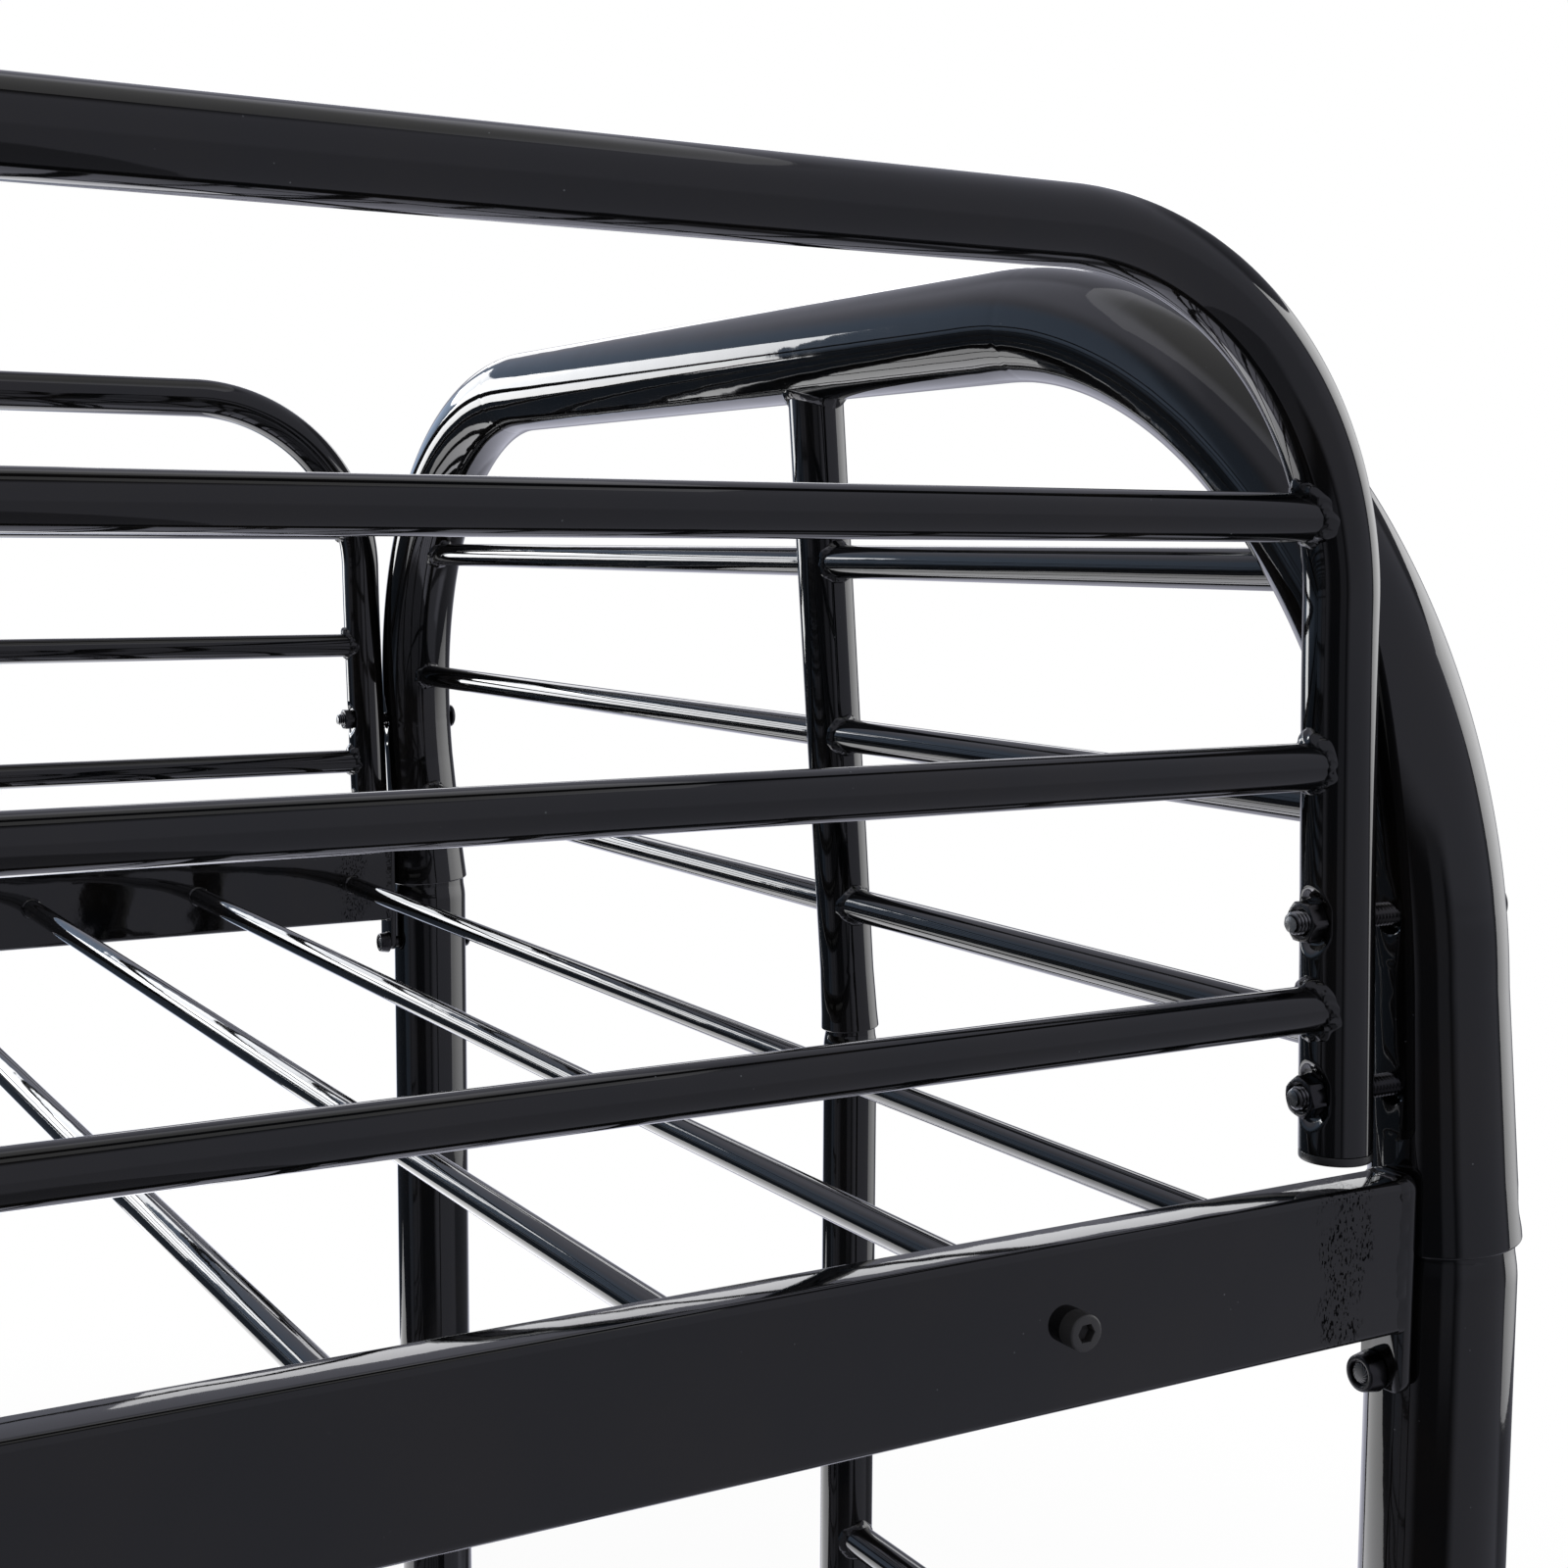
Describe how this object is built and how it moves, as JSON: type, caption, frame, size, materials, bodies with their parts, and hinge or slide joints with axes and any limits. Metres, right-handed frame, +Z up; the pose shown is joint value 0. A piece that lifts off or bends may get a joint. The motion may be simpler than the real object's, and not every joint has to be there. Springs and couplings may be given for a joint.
{
  "type": "bunk bed",
  "caption": "Twin-over-twin bunk bed in gloss black steel tube, with bent hoop ends, ladder rungs in both ends, bolted guard rails and round steel slats.",
  "frame": {"origin": "on the floor under the middle of the bed, at the centre of the bounding box's base", "axes": "+X along the bed toward the end in the picture, -Y toward the picture's side (the front), +Z up"},
  "size_m": [2.0548, 1.0286, 1.6171],
  "materials": {
    "end_frame_paint": "gloss black powder coat",
    "guard_rail_paint": "gloss black powder coat",
    "side_rail_paint": "gloss black powder coat with slight orange peel",
    "slat_paint": "gloss black powder coat",
    "black_bolt": "black oxide",
    "black_plastic": "satin moulded"
  },
  "bodies": {
    "root": {"end_hoop_left": "end_frame_paint", "end_hoop_right": "end_frame_paint", "upper_end_panel_left": "end_frame_paint", "upper_end_panel_right": "end_frame_paint", "ladder_panel_left": "end_frame_paint", "ladder_panel_right": "end_frame_paint", "post_front_left": "end_frame_paint", "post_front_right": "end_frame_paint", "post_back_left": "end_frame_paint", "post_back_right": "end_frame_paint", "floor_glide_front_left": "black_plastic", "floor_glide_front_right": "black_plastic", "floor_glide_back_left": "black_plastic", "floor_glide_back_right": "black_plastic", "stile_glide_left": "black_plastic", "stile_glide_right": "black_plastic", "guard_rail_front": "guard_rail_paint", "guard_rail_back": "guard_rail_paint", "guard_cap_front_left": "black_plastic", "guard_cap_front_right": "black_plastic", "guard_cap_back_left": "black_plastic", "guard_cap_back_right": "black_plastic", "guard_bolt_front_lower_left": "black_bolt", "guard_bolt_front_lower_right": "black_bolt", "guard_bolt_front_upper_left": "black_bolt", "guard_bolt_front_upper_right": "black_bolt", "guard_bolt_back_lower_left": "black_bolt", "guard_bolt_back_lower_right": "black_bolt", "guard_bolt_back_upper_left": "black_bolt", "guard_bolt_back_upper_right": "black_bolt", "upper_side_rail_front": "side_rail_paint", "upper_side_rail_back": "side_rail_paint", "lower_side_rail_front": "side_rail_paint", "lower_side_rail_back": "side_rail_paint", "upper_rail_bolt_front_left": "black_bolt", "upper_rail_bolt_front_right": "black_bolt", "upper_rail_bolt_back_left": "black_bolt", "upper_rail_bolt_back_right": "black_bolt", "lower_rail_bolt_front_left": "black_bolt", "lower_rail_bolt_front_right": "black_bolt", "lower_rail_bolt_back_left": "black_bolt", "lower_rail_bolt_back_right": "black_bolt", "upper_slat_01": "slat_paint", "upper_slat_02": "slat_paint", "upper_slat_03": "slat_paint", "upper_slat_04": "slat_paint", "upper_slat_05": "slat_paint", "upper_slat_06": "slat_paint", "upper_slat_07": "slat_paint", "upper_slat_08": "slat_paint", "upper_slat_09": "slat_paint", "upper_slat_10": "slat_paint", "upper_slat_11": "slat_paint", "upper_slat_12": "slat_paint", "upper_slat_13": "slat_paint", "upper_slat_14": "slat_paint", "upper_slat_15": "slat_paint", "upper_slat_16": "slat_paint", "upper_slat_17": "slat_paint", "upper_slat_18": "slat_paint"}
  },
  "joints": []
}
